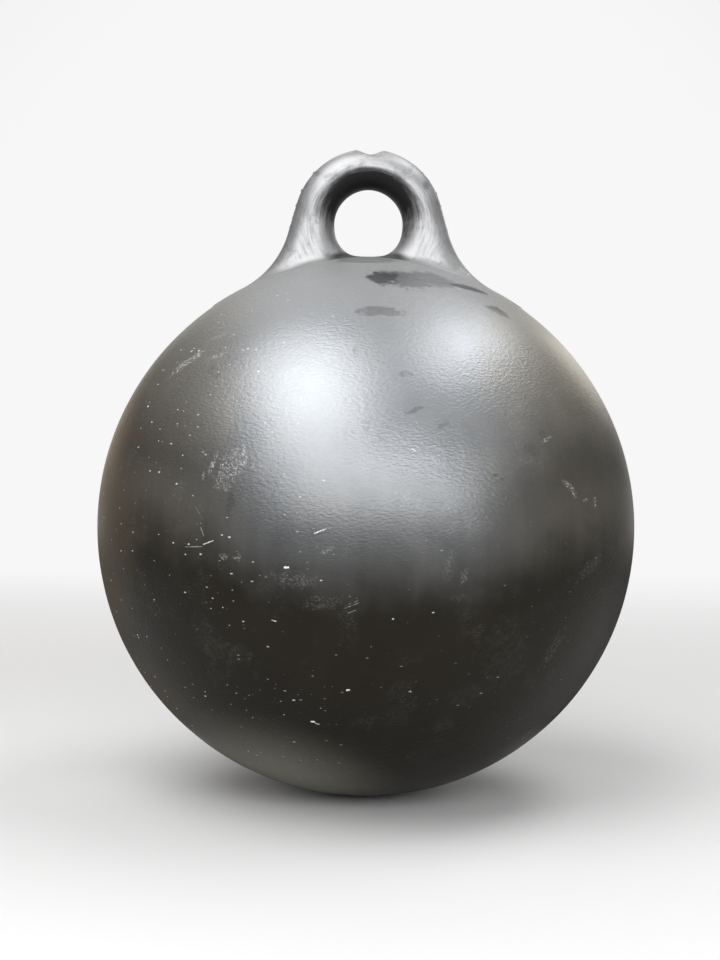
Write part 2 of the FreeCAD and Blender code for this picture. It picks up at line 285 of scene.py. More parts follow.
def relax(distance, points, quads, rounds=3):
    """Evens out the net along the surface."""
    starts = np.concatenate([quads[:, i] for i in range(4)])
    ends = np.concatenate([quads[:, (i + 1) % 4] for i in range(4)])
    for _ in range(rounds):
        near = np.zeros_like(points)
        for axis in range(3):
            near[:, axis] = np.bincount(starts, points[ends, axis], len(points))
            near[:, axis] += np.bincount(ends, points[starts, axis], len(points))
        degree = np.bincount(starts, minlength=len(points)) + np.bincount(ends, minlength=len(points))
        near /= np.maximum(degree, 1)[:, None]
        points = pull_onto(distance, points + 0.5 * (near - points), 2)
    return points


# ---------------------------------------------------------------- meshes
def make_piece(name, points, faces, material, replaced):
    """A smooth mesh in the frame's metres, riding on the float's one body."""
    mesh = bpy.data.meshes.new(name)
    mesh.from_pydata((np.asarray(points) * MM).tolist(), [], [list(map(int, f)) for f in faces])
    mesh.validate()
    mesh.shade_smooth()
    mesh.materials.append(material)
    piece = bpy.data.objects.new(name, mesh)
    bpy.context.scene.collection.objects.link(piece)
    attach(piece, "root")
    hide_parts(*replaced)
    return piece


def grid_quads(rows, columns, closed=False):
    """Quads of a grid of points, row by row, with its columns joined round when closed."""
    r = np.arange(rows - 1)[:, None]
    c = np.arange(columns if closed else columns - 1)[None, :]
    after = (c + 1) % columns
    here = r * columns
    corners = [here + c, here + after, here + columns + after, here + columns + c]
    return np.stack(np.broadcast_arrays(*corners), -1).reshape(-1, 4)


def slow_waves(points, seed=11):
    """The gentle unevenness of a blown wall, at most zero, and none under the eye."""
    draw = np.random.default_rng(seed)
    waves = np.zeros(len(points))
    height = 0.0
    for length, tall, number in WALL_WAVES:
        for _ in range(number):
            way = draw.normal(size=3)
            way /= np.linalg.norm(way)
            waves += tall * np.sin(points @ way * (2 * math.pi / length) + draw.uniform(0, 6.28))
            height += tall
    crown = np.clip((points[:, 2] - WAVES_TOP) / WAVES_EASE, 0, 1)
    return (waves - height) * (1 - crown * crown * (3 - 2 * crown))


def half_ball(side):
    """Even quads over the half of the ball on that side of the parting plane (-1 front, 1 back)."""
    a, b = np.meshgrid(np.linspace(-1, 1, BALL_QUADS + 1), np.linspace(-1, 1, BALL_QUADS + 1))
    wide = np.abs(a) > np.abs(b)
    reach = np.where(wide, a, b)
    share = np.where(wide, b, a) / np.where(reach == 0, 1, reach)
    turn = np.where(wide, share * math.pi / 4, math.pi / 2 - share * math.pi / 4)
    tilt = 2 * np.arcsin(np.clip(reach / math.sqrt(2), -1, 1))
    way = np.stack([np.sin(tilt) * np.cos(turn), side * np.cos(tilt), np.sin(tilt) * np.sin(turn)], -1)
    way = way.reshape(-1, 3)
    reach = np.full(len(way), BALL_RADIUS)
    for _ in range(6):
        here = root_and_ball(*(way * reach[:, None]).T)
        above = root_and_ball(*(way * (reach + PROBE)[:, None]).T)
        reach = reach - here / np.maximum((above - here) / PROBE, 0.3)
    points = way * (reach + slow_waves(way * BALL_RADIUS))[:, None]
    quads = grid_quads(BALL_QUADS + 1, BALL_QUADS + 1)
    return points, quads if side < 0 else quads[:, ::-1]


def eye_skin():
    """The eye's surface down to where it sinks into the ball."""
    across, through = EYE_NET_MARGIN
    low = (EYE_LOW[0] - across, EYE_LOW[1] - through, EYE_LOW[2] - EYE_NET_BELOW)
    high = (EYE_HIGH[0] + across, EYE_HIGH[1] + through, EYE_HIGH[2] + EYE_NET_ABOVE)
    points, quads = net_surface(eye_on_ball, low, high, EYE_CELL)
    points = pull_onto(eye_on_ball, points)
    points = relax(eye_on_ball, points, quads)
    proud = root_and_ball(*points.T) > -0.7 * SEAT_OVERLAP
    quads = quads[proud[quads].any(1)]
    used, renumbered = np.unique(quads, return_inverse=True)
    return points[used], renumbered.reshape(quads.shape)


def outline_walk(side, step):
    """Even steps down one side of the outline in the parting plane, from the nick to the weld."""
    first = math.atan2(NICK_HALF_WIDTH + side * NICK_CENTRE, EYE_CENTRE + RING_RADIUS)
    last = math.pi - math.asin(WELD_HALF_LENGTH / BALL_RADIUS)
    turn = np.linspace(first, last, WALK_TURNS)
    reaches = np.arange(EYE_CENTRE + RING_RADIUS + WALK_ABOVE, BALL_RADIUS - WALK_BELOW, -WALK_STEP)
    across = side * np.sin(turn)[:, None] * reaches
    height = np.cos(turn)[:, None] * reaches
    gaps = eye_on_ball(across, np.zeros_like(across), height)
    off_eye = (np.abs(across) > FLARE_X) | (height < BALL_RADIUS / 2)
    gaps = np.where(off_eye & (reaches > BALL_RADIUS + 1), 1.0, gaps)
    hit = (gaps < 0).argmax(1)
    before, after = (np.take_along_axis(gaps, i[:, None], 1)[:, 0] for i in (hit - 1, hit))
    reach = reaches[hit - 1] - WALK_STEP * before / (before - after)
    line = np.stack([side * np.sin(turn) * reach, np.cos(turn) * reach], 1)
    run = np.r_[0, np.cumsum(np.linalg.norm(np.diff(line, axis=0), axis=1))]
    even = np.linspace(0, run[-1], int(run[-1] / step))
    return np.stack([np.interp(even, run, line[:, i]) for i in (0, 1)], 1), even


def flash_ribbon(side, burrs, seed):
    """A low ragged ridge along the parting plane, with a few torn burrs round the eye."""
    line, run = outline_walk(side, FLASH_STEP)
    along = np.gradient(line, axis=0)
    along /= np.linalg.norm(along, axis=1)[:, None]
    out = side * np.stack([-along[:, 1], along[:, 0]], 1)
    draw = np.random.default_rng(seed)
    ragged = np.convolve(draw.normal(size=len(run) + 4), np.ones(5) / 5, "valid")
    chipped = np.convolve(draw.random(len(run) + 2) ** 9, np.ones(3) / 3, "valid")
    tall = FLASH_RISE + 0.05 * ragged + 0.30 * chipped
    angle = np.degrees(np.arctan2(np.abs(line[:, 0]), line[:, 1] - EYE_CENTRE))
    on_eye = line[:, 1] > BALL_RADIUS
    for place, rise, width in burrs:
        off = np.where(on_eye, (angle - place) / width, 9)
        tall = tall + rise * np.clip(1 - np.abs(off), 0, 1) * (0.8 + 0.2 * np.sin(off * 7))
    fade = np.clip(np.minimum(run, run[-1] - run) / FLASH_FADE, 0, 1)
    tall = np.where(on_eye, tall, np.minimum(tall, FLASH_TALLEST_ON_BALL))
    tall = np.clip(tall, FLASH_LOWEST, None) * fade
    root = np.full(len(run), FLASH_ROOT)
    rows = []
    for shift, share in ((root, 1), (tall, FLASH_TOP_SHARE), (tall, -FLASH_TOP_SHARE), (root, -1)):
        spot = line + out * shift[:, None]
        rows.append(np.stack([spot[:, 0], np.full(len(run), FLASH_HALF_WIDTH * share), spot[:, 1]], 1))
    points = np.stack(rows, 1).reshape(-1, 3)
    quads = grid_quads(len(run), 4, closed=True)
    last = 4 * (len(run) - 1)
    ends = np.array([[3, 2, 1, 0], [last, last + 1, last + 2, last + 3]])
    quads = np.concatenate([quads, ends])
    return points, quads if side < 0 else quads[:, ::-1]


def pinch_scar():
    """The uneven weld under the ball, where the mould pinched it shut."""
    draw = np.random.default_rng(3)
    tilt = np.linspace(-1, 1, WELD_STEPS) * math.asin(WELD_HALF_LENGTH / BALL_RADIUS)
    ragged = np.convolve(draw.normal(size=len(tilt) + 6), np.ones(7) / 7, "valid")
    end = np.sqrt(np.clip(1 - (tilt / tilt[-1]) ** 8, 0, 1))
    half_width = WELD_HALF_WIDTH * (0.86 + 0.09 * np.clip(ragged, -1, 1)) * (0.35 + 0.65 * end)
    tall = (WELD_RISE * (0.72 + 0.25 * np.clip(np.roll(ragged, 9), -1, 1))) * end
    lanes = []
    for across in np.linspace(-1, 1, WELD_LANES):
        rise = tall * math.sqrt(max(0, 1 - across * across)) - 0.4 * abs(across) ** 6
        lanes.append((half_width * across, BALL_RADIUS - 0.15 + rise))
    for across in (0.6, -0.6):
        lanes.append((half_width * across, np.full(len(tilt), BALL_RADIUS - 1.0)))
    rows = [np.stack([np.sin(tilt) * reach, wide, -np.cos(tilt) * reach], 1) for wide, reach in lanes]
    points = np.stack(rows, 1).reshape(-1, 3)
    columns = len(lanes)
    faces = grid_quads(len(tilt), columns, closed=True).tolist()
    last = columns * (len(tilt) - 1)
    faces.append(list(range(columns))[::-1])
    faces.append([last + i for i in range(columns)])
    return points, faces


# ---------------------------------------------------------------- finishes
class Bench:
    """Short calls that lay out the nodes of one finish or one shared effect."""

    def __init__(self, tree):
        self.tree = tree

    def node(self, kind, **settings):
        """A new node with its settings."""
        made = self.tree.nodes.new(kind)
        for name, value in settings.items():
            setattr(made, name, value)
        return made

    def feed(self, socket, source):
        """Links a socket, or sets it when the source is a number or a tuple."""
        if isinstance(source, bpy.types.NodeSocket):
            self.tree.links.new(source, socket)
        else:
            socket.default_value = source

    def maths(self, operation, a, b=0.0, c=None, clamp=False):
        """One step of arithmetic on numbers."""
        made = self.node("ShaderNodeMath", operation=operation, use_clamp=clamp)
        self.feed(made.inputs[0], a)
        self.feed(made.inputs[1], b)
        if c is not None:
            self.feed(made.inputs[2], c)
        return made.outputs[0]

    def vector(self, operation, a, b=(0, 0, 0), scale=None):
        """One step of arithmetic on vectors; gives a number where the operation does."""
        made = self.node("ShaderNodeVectorMath", operation=operation)
        self.feed(made.inputs[0], a)
        self.feed(made.inputs[1], b)
        if scale is not None:
            self.feed(made.inputs["Scale"], scale)
        return made.outputs["Value" if operation in ("LENGTH", "DOT_PRODUCT", "DISTANCE") else "Vector"]

    def split(self, vector):
        """The three parts of a vector or a colour."""
        return self.node_outputs("ShaderNodeSeparateXYZ", vector)

    def node_outputs(self, kind, source):
        """All outputs of a new node that takes the source first."""
        made = self.node(kind)
        self.feed(made.inputs[0], source)
        return list(made.outputs)

    def join(self, x, y, z):
        """A vector from three numbers."""
        made = self.node("ShaderNodeCombineXYZ")
        for socket, source in zip(made.inputs, (x, y, z)):
            self.feed(socket, source)
        return made.outputs[0]

    def ease(self, value, start, end, low=0.0, high=1.0):
        """A soft step from low at start to high at end."""
        made = self.node("ShaderNodeMapRange", interpolation_type="SMOOTHSTEP", clamp=False)
        for socket, source in zip(list(made.inputs)[:5], (value, start, end, low, high)):
            self.feed(socket, source)
        return made.outputs[0]

    def noise(self, where, period, detail=2.0, rough=0.5, warp=0.0):
        """Cloudy noise about 0.5 whose features are about one period apart, in millimetres."""
        made = self.node("ShaderNodeTexNoise")
        self.feed(made.inputs["Vector"], where)
        self.feed(made.inputs["Scale"], 1 / period)
        self.feed(made.inputs["Detail"], detail)
        self.feed(made.inputs["Roughness"], rough)
        self.feed(made.inputs["Distortion"], warp)
        return made.outputs["Fac"]

    def cells(self, where):
        """Random cells one unit apart."""
        made = self.node("ShaderNodeTexVoronoi")
        self.feed(made.inputs["Vector"], where)
        self.feed(made.inputs["Scale"], 1.0)
        return made

    def blend(self, amount, low, high):
        """A colour from low to high."""
        made = self.node("ShaderNodeMix", data_type="RGBA")
        self.feed(made.inputs[0], amount)
        for socket, colour in ((made.inputs[6], low), (made.inputs[7], high)):
            self.feed(socket, (*colour, 1) if isinstance(colour, tuple) else colour)
        return made.outputs[2]

    def between(self, amount, low, high):
        """A number from low to high."""
        made = self.node("ShaderNodeMix", data_type="FLOAT")
        self.feed(made.inputs[0], amount)
        self.feed(made.inputs[2], low)
        self.feed(made.inputs[3], high)
        return made.outputs[0]

    def place(self, group, **values):
        """A shared effect with its own values; gives its first output."""
        made = self.node("ShaderNodeGroup", node_tree=group)
        for name, source in values.items():
            self.feed(made.inputs[name.replace("_", " ")], source)
        return made.outputs[0]


def shared_effect(name, inputs, output, output_kind="NodeSocketFloat"):
    """A shader node group with named sockets: its bench, its inputs and its output socket."""
    group = bpy.data.node_groups.new(name, "ShaderNodeTree")
    for label, kind, value in inputs:
        socket = group.interface.new_socket(label, in_out="INPUT", socket_type=kind)
        if value is not None:
            socket.default_value = value
    group.interface.new_socket(output, in_out="OUTPUT", socket_type=output_kind)
    bench = Bench(group)
    source = bench.node("NodeGroupInput").outputs
    sink = bench.node("NodeGroupOutput").inputs[0]
    return group, bench, source, sink


NUMBER = "NodeSocketFloat"
PLACE = "NodeSocketVector"


def hammered_skin():
    """Height of the small flattened waves that the mould wall leaves, longer across than tall."""
    group, bench, source, sink = shared_effect("hammered_skin", [
        ("Position", PLACE, None), ("Period", NUMBER, 3.0), ("Length", NUMBER, 1.9)], "Height")
    stretch = bench.join(source["Length"], source["Length"], 1.0)
    where = bench.vector("DIVIDE", source["Position"], stretch)
    size = bench.maths("DIVIDE", 1.0, source["Period"])
    where = bench.vector("SCALE", where, scale=size)
    coarse = bench.noise(where, 1.0, 1.0, 0.4, warp=0.25)
    fine = bench.noise(where, 0.42, 1.0, 0.5)
    bench.feed(sink, bench.maths("MULTIPLY_ADD", fine, 0.35, coarse))
    return group


def line_mark():
    """A scratch between two points, fading at its ends and broken along its length."""
    group, bench, source, sink = shared_effect("line_mark", [
        ("Position", PLACE, None), ("Start", PLACE, None), ("End", PLACE, None),
        ("Width", NUMBER, 0.5), ("Breaks", NUMBER, 0.5)], "Mask")
    run = bench.vector("SUBTRACT", source["End"], source["Start"])
    offset = bench.vector("SUBTRACT", source["Position"], source["Start"])
    share = bench.maths("DIVIDE", bench.vector("DOT_PRODUCT", offset, run),
                        bench.vector("DOT_PRODUCT", run, run))
    share = bench.maths("MINIMUM", bench.maths("MAXIMUM", share, 0.0), 1.0)
    gap = bench.vector("DISTANCE", offset, bench.vector("SCALE", run, scale=share))
    wobble = bench.noise(source["Position"], 1.2, 2.0)
    gap = bench.maths("ADD", gap, bench.maths("MULTIPLY", bench.maths("SUBTRACT", wobble, 0.5),
                                              bench.maths("MULTIPLY_ADD", source["Width"], 1.1, 0.04)))
    body = bench.ease(gap, source["Width"], bench.maths("MULTIPLY", source["Width"], 0.35))
    broken = bench.ease(bench.noise(source["Position"], 0.9, 1.0), 0.38, 0.52)
    kept = bench.between(source["Breaks"], 1.0, broken)
    bench.feed(sink, bench.maths("MULTIPLY", body, kept))
    return group


def patch_mark():
    """A soft-edged patch; Along and Across are its half axes, each divided by its length squared."""
    group, bench, source, sink = shared_effect("patch_mark", [
        ("Position", PLACE, None), ("Centre", PLACE, None), ("Along", PLACE, None),
        ("Across", PLACE, None), ("Ragged", NUMBER, 0.6)], "Mask")
    offset = bench.vector("SUBTRACT", source["Position"], source["Centre"])
    along = bench.vector("DOT_PRODUCT", offset, source["Along"])
    across = bench.vector("DOT_PRODUCT", offset, source["Across"])
    reach = bench.maths("SQRT", bench.maths("ADD", bench.maths("MULTIPLY", along, along),
                                            bench.maths("MULTIPLY", across, across)))
    off_surface = bench.maths("MULTIPLY", bench.vector("LENGTH", offset), 0.012)
    ragged = bench.maths("SUBTRACT", bench.noise(source["Position"], 4.0, 5.0, 0.7), 0.5)
    reach = bench.maths("MULTIPLY_ADD", ragged, bench.maths("MULTIPLY", source["Ragged"], 2.4), reach)
    reach = bench.maths("ADD", reach, bench.maths("MULTIPLY", off_surface, off_surface))
    bench.feed(sink, bench.ease(reach, 1.0, 0.6))
    return group


def flecks():
    """Specks of dry salt and chipped plastic, short and level."""
    group, bench, source, sink = shared_effect("flecks", [
        ("Position", PLACE, None), ("Spacing", NUMBER, 6.0), ("Size", NUMBER, 0.12),
        ("Share", NUMBER, 0.5)], "Mask")
    where = bench.vector("DIVIDE", source["Position"], (2.4, 2.4, 1.0))
    where = bench.vector("SCALE", where, scale=bench.maths("DIVIDE", 1.0, source["Spacing"]))
    spots = bench.cells(where)
    chance, size, light = bench.split(spots.outputs["Color"])
    limit = bench.maths("MULTIPLY", source["Size"], bench.maths("MULTIPLY_ADD", size, 0.9, 0.25))
    spot = bench.ease(spots.outputs["Distance"], limit, bench.maths("MULTIPLY", limit, 0.5))
    kept = bench.maths("LESS_THAN", chance, source["Share"])
    spot = bench.maths("MULTIPLY", spot, kept)
    bench.feed(sink, bench.maths("MULTIPLY", spot, bench.maths("MULTIPLY_ADD", light, 0.65, 0.35)))
    return group


def fine_rub():
    """Crossing hair scratches where the float has rubbed."""
    group, bench, source, sink = shared_effect("fine_rub", [("Position", PLACE, None)], "Mask")
    level = bench.noise(bench.vector("DIVIDE", source["Position"], (3.0, 3.0, 0.6)), 1.0, 3.0, 0.65)
    x, y, z = bench.split(source["Position"])
    leaning = bench.join(bench.maths("MULTIPLY_ADD", z, 0.7, x), y, bench.maths("MULTIPLY_ADD", x, -0.7, z))
    second = bench.noise(bench.vector("DIVIDE", leaning, (0.55, 2.4, 3.2)), 1.0, 2.0, 0.6)
    both = bench.maths("MAXIMUM", bench.ease(level, 0.46, 0.62), bench.ease(second, 0.50, 0.64))
    grit = bench.ease(bench.noise(source["Position"], 1.0, 3.0, 0.6), 0.40, 0.62)
    bench.feed(sink, bench.maths("MULTIPLY", both, grit))
    return group


def run_marks():
    """Faint upright tone lines left by water running down."""
    group, bench, source, sink = shared_effect("run_marks", [("Position", PLACE, None)], "Tone")
    wide = bench.noise(bench.vector("DIVIDE", source["Position"], (9.0, 9.0, 260.0)), 1.0, 2.0, 0.55)
    cloud = bench.noise(source["Position"], 34.0, 4.0, 0.55, warp=0.4)
    tone = bench.maths("MULTIPLY_ADD", bench.maths("SUBTRACT", wide, 0.5), 0.35,
                       bench.maths("SUBTRACT", cloud, 0.5))
    bench.feed(sink, tone)
    return group


HAMMERED_SKIN = hammered_skin()
LINE_MARK = line_mark()
PATCH_MARK = patch_mark()
FLECKS = flecks()
FINE_RUB = fine_rub()
RUN_MARKS = run_marks()

# Marks on the ball: longitude right of the front, latitude, then sizes in mm, tilt and strength.
# Scratches: length, tilt, width, strength, breaks.
PALE_SCRATCHES = (
    (-8.5, 3.5, 5.8, 22, 0.45, 0.95, 0.0),
    (-2.5, -10.0, 7.2, 22, 0.30, 0.55, 0.1),
    (-2.5, -10.5, 7.4, 22, 0.30, 0.55, 0.1),
    (-2.0, -11.5, 7.0, 22, 0.30, 0.50, 0.2),
    (-35.0, -0.5, 12.0, 4, 0.35, 0.30, 0.4),
    (-31.5, 0.5, 6.5, 20, 0.34, 0.70, 0.2),
    (-15.0, -3.5, 1.6, 3, 0.75, 1.0, 0.0),
    (-3.5, -28.5, 1.1, 8, 0.70, 0.95, 0.0),
    (-12.5, -37.0, 1.4, -5, 0.65, 0.95, 0.0),
    (-11.5, -37.5, 1.8, -20, 0.55, 0.55, 0.2),
    (-18.0, -14.0, 2.2, -12, 0.45, 0.60, 0.2),
    (-34.0, 6.0, 8.5, -50, 0.25, 0.22, 0.3),
    (-33.0, 6.5, 8.0, -50, 0.22, 0.20, 0.3),
    (-33.0, 2.5, 4.5, -62, 0.40, 0.25, 0.3),
    (49.5, 8.5, 2.6, 10, 0.8, 0.35, 0.9),
    (9.5, 19.0, 2.4, -30, 0.35, 0.75, 0.0),
)
# Dark scratches; the first row is a painted shadow line under the first pale scratch.
DARK_SCRATCHES_AND_SHADOW_LINE = (
    (-8.5, 3.0, 5.6, 22, 0.32, 0.90, 0.0),
    (3.0, 38.0, 6.5, -30, 0.38, 0.75, 0.2),
    (5.5, 36.5, 5.5, -14, 0.34, 0.75, 0.2),
    (6.5, 34.0, 4.5, -66, 0.40, 0.60, 0.5),
)
# Zones of small chips: longitude, latitude, spread in degrees, number, usual radius and strength.
CHIPPED_ZONES = (
    (-54, 36, 6, 8, 1.3, 0.65),
    (-41, 45, 10, 8, 1.2, 0.55),
    (-60, 22, 16, 7, 1.2, 0.60),
    (-42, 12, 18, 9, 1.0, 0.75),
    (-52, -4, 14, 9, 0.9, 0.60),
    (-25, -8, 22, 10, 1.0, 0.60),
    (-5, -18, 24, 12, 0.9, 0.50),
    (-48, -38, 20, 5, 1.2, 0.60),
)
CHIP_VARIES = (0.7, 1.3)
# Patches: half length, half width, tilt, strength, raggedness.
RUBBED_PATCHES = (
    (-53, 37, 13.0, 4.2, 42, 1.00, 0.9),
    (-50, 39, 6.0, 2.6, 40, 1.00, 0.9),
    (-42, 39, 7.0, 2.0, 24, 0.60, 0.8),
    (-47, 44, 9.0, 2.2, 30, 0.45, 0.9),
    (-28, 15, 15.0, 9.0, 62, 0.50, 0.9),
    (-32, 16, 8.0, 1.8, 74, 0.85, 0.9),
    (-34, 13, 4.0, 1.2, 86, 0.60, 0.8),
    (-25, 17, 6.5, 2.0, 104, 0.85, 0.9),
    (-28, -2, 3.2, 2.2, 10, 0.80, 0.6),
    (-25, -2, 2.2, 3.0, 80, 0.65, 0.7),
    (-7, 0, 4.2, 1.9, 26, 0.95, 0.6),
    (-13, -6, 17.0, 5.0, -4, 0.42, 1.0),
    (-8, -10, 14.0, 5.0, 5, 0.25, 1.0),
    (53, 8, 2.0, 3.4, -12, 0.75, 0.7),
    (41, 21, 5.5, 1.2, 24, 0.70, 0.9),
    (45, 11, 8.0, 2.2, -46, 0.75, 0.9),
    (19, -5, 2.5, 6.0, -16, 0.60, 0.9),
    (51, -5, 15.0, 5.0, 28, 0.22, 1.0),
    (44, -21, 5.0, 15.0, -20, 0.22, 1.0),
    (57, -45, 10.0, 5.5, 40, 0.34, 1.0),
    (16, -3, 3.6, 10.0, -8, 0.26, 1.0),
    (16, 4, 4.0, 4.0, 0, 0.12, 1.0),
    (18, -9, 10.0, 3.0, 0, 0.14, 1.0),
)
CLOUDED_PATCHES = (
    (-30, -21, 19.0, 8.0, -14, 0.22, 0.9),
    (30, -21, 18.0, 26.0, 0, 0.13, 1.0),
    (24, -30, 14.0, 8.0, 10, 0.13, 1.0),
)
# Dark smudges; the patch at latitude 82 is painted shade in the crease at the eye's foot.
SMUDGES_AND_CREASE_SHADE = (
    (8, 66, 10.0, 12.0, -20, 0.90, 0.8),
    (19, 65, 16.0, 14.0, -20, 0.62, 0.8),
    (33, 66, 17.0, 14.0, -30, 0.55, 0.9),
    (50, 62, 15.0, 4.5, -22, 0.80, 0.7),
    (50, 53, 9.0, 5.5, -32, 0.60, 0.8),
    (4, 52, 16.0, 4.5, -2, 0.42, 0.9),
    # Painted shade in the crease at the front of the eye's foot.
    (-2, 82, 19.0, 17.0, 0, 0.80, 0.3),
    (9, 35, 5.0, 2.4, 8, 0.40, 1.0),
    (10, 27, 7.0, 1.5, 24, 0.45, 1.0),
    (16, 24, 4.5, 1.4, 20, 0.30, 0.9),
    (0, 24, 2.0, 4.5, -10, 0.32, 1.0),
    (-3, 40, 1.8, 3.5, 5, 0.28, 1.0),
    (26, 14, 3.2, 1.2, 16, 0.75, 0.5),
    (27, 13, 3.4, 1.2, 16, 0.75, 0.5),
    (36, 19, 6.0, 4.0, 0, 0.32, 1.0),
    (40, 22, 3.5, 3.0, 0, 0.30, 0.8),
    (-27, 8, 2.6, 8.5, -8, 0.85, 0.8),
    (-40, 35, 8.0, 3.5, -40, 0.22, 1.0),
)


def on_ball(longitude, latitude, tilt):
    """A place on the ball with the directions along and across a mark there."""
    a, e, t = (math.radians(v) for v in (longitude, latitude, tilt))
    out = np.array([math.cos(e) * math.sin(a), -math.cos(e) * math.cos(a), math.sin(e)])
    east = np.array([math.cos(a), math.sin(a), 0])
    north = np.cross(out, east)
    along = math.cos(t) * east + math.sin(t) * north
    return out * BALL_RADIUS, along, np.cross(out, along)


def scratches(bench, place, marks):
    """All scratches of a list as one mask."""
    mask = 0.0
    for longitude, latitude, length, tilt, width, strength, breaks in marks:
        centre, along, _ = on_ball(longitude, latitude, tilt)
        mark = bench.place(LINE_MARK, Position=place, Start=tuple(centre - along * length / 2),
                           End=tuple(centre + along * length / 2), Width=width, Breaks=breaks)
        mask = bench.maths("MAXIMUM", bench.maths("MULTIPLY", mark, strength), mask)
    return mask


def patches(bench, place, marks):
    """All patches of a list as one mask."""
    mask = 0.0
    for longitude, latitude, half_length, half_width, tilt, strength, ragged in marks:
        centre, along, across = on_ball(longitude, latitude, tilt)
        mark = bench.place(PATCH_MARK, Position=place, Centre=tuple(centre), Along=tuple(along / half_length),
                           Across=tuple(across / half_width), Ragged=ragged)
        mask = bench.maths("MAXIMUM", bench.maths("MULTIPLY", mark, strength), mask)
    return mask


def scattered_chips(zones, seed=8):
    """Chips drawn from a fixed seed in each zone: longitude, latitude, radius and strength."""
    draw = np.random.default_rng(seed)
    for longitude, latitude, spread, number, radius, strength in zones:
        for _ in range(number):
            east, north = draw.normal(scale=spread / 2, size=2)
            east = east / math.cos(math.radians(latitude))
            chip_radius, chip_strength = (radius, strength) * draw.uniform(*CHIP_VARIES, size=2)
            yield longitude + east, latitude + north, chip_radius, chip_strength


def chips(bench, place, marks):
    """All small chips as one mask, each a little longer across than tall."""
    squash = (1.0, 1.0, 1.8)
    rugged = bench.node_outputs("ShaderNodeTexNoise", bench.vector("SCALE", place, scale=0.2))[1]
    rugged = bench.vector("SCALE", bench.vector("SUBTRACT", rugged, (0.5, 0.5, 0.5)), scale=1.6)
    flat_place = bench.vector("ADD", bench.vector("MULTIPLY", place, squash), rugged)
    mask = 0.0
    for longitude, latitude, radius, strength in marks:
        centre = on_ball(longitude, latitude, 0)[0] * squash
        gap = bench.vector("DISTANCE", flat_place, tuple(centre))
        body = bench.ease(gap, radius * 0.85, radius * 0.3)
        mask = bench.maths("MAXIMUM", bench.maths("MULTIPLY", body, strength), mask)
    return mask


def new_finish(name):
    """A material with its bench, its shader and the place on the float in millimetres."""
    material = bpy.data.materials.new(name)
    material.use_nodes = True
    bench = Bench(material.node_tree)
    shader = material.node_tree.nodes["Principled BSDF"]
    where = bench.node("ShaderNodeTexCoord").outputs["Object"]
    place = bench.vector("SCALE", where, scale=1 / MM)
    return material, bench, shader, place


def bump(bench, height, depth, normal=None):
    """A normal bent by a height of that depth in millimetres."""
    made = bench.node("ShaderNodeBump")
    bench.feed(made.inputs["Height"], height)
    made.inputs["Distance"].default_value = depth * MM
    if normal is not None:
        bench.feed(made.inputs["Normal"], normal)
    return made.outputs[0]


BLACK_PLASTIC = (0.006, 0.006, 0.0065)
DEEP_BLACK = (0.0082, 0.0066, 0.0042)
GREY_BLACK = (0.0140, 0.0120, 0.0082)
# Painted sheen colours: they make the ball's top lighter and more reflective; the warm one paints warmer
# reflections at the sides.
PAINTED_SHEEN_COOL = (0.338, 0.352, 0.368)
PAINTED_SHEEN_WARM = (0.374, 0.350, 0.304)
# Painted warm reflection along the ball's left and lower-left rim.
PAINTED_RIM_REFLECTION = (0.072, 0.054, 0.031)
# Painted glow of the floor, reflected low on the ball's left.
PAINTED_FLOOR_GLOW = (0.130, 0.126, 0.100)
# Dust on the crown, which also paints the grey reflection that the top catches.
DUST_AND_TOP_SHEEN = (0.262, 0.257, 0.248)
HAZE = (0.62, 0.60, 0.50)
FOOT_DUST = (0.285, 0.285, 0.286)
PALE_RUB = (0.70, 0.70, 0.69)
SALT = (0.85, 0.84, 0.80)
# Dark smudges, and painted shade in the crease at the eye's foot.
SMUDGE_AND_SHADE_BLACK = (0.045, 0.046, 0.05)
# Dark scratches, and a painted shadow line under one pale scratch.
GROOVE_AND_SHADOW_BLACK = (0.01, 0.01, 0.01)
# Painted sheen colours of the eye where it faces up.
EYE_SHEEN = (0.375, 0.377, 0.383)
EYE_BRIGHT_SHEEN = (0.42, 0.422, 0.43)
EYE_SMUDGE = (0.16, 0.16, 0.166)
FLASH_DARK = (0.02, 0.02, 0.019)
FLASH_GREY = (0.09, 0.09, 0.088)
# Middle of the painted floor glow.
FLOOR_GLOW_MIDDLE = tuple(on_ball(-34, -60, 0)[0])


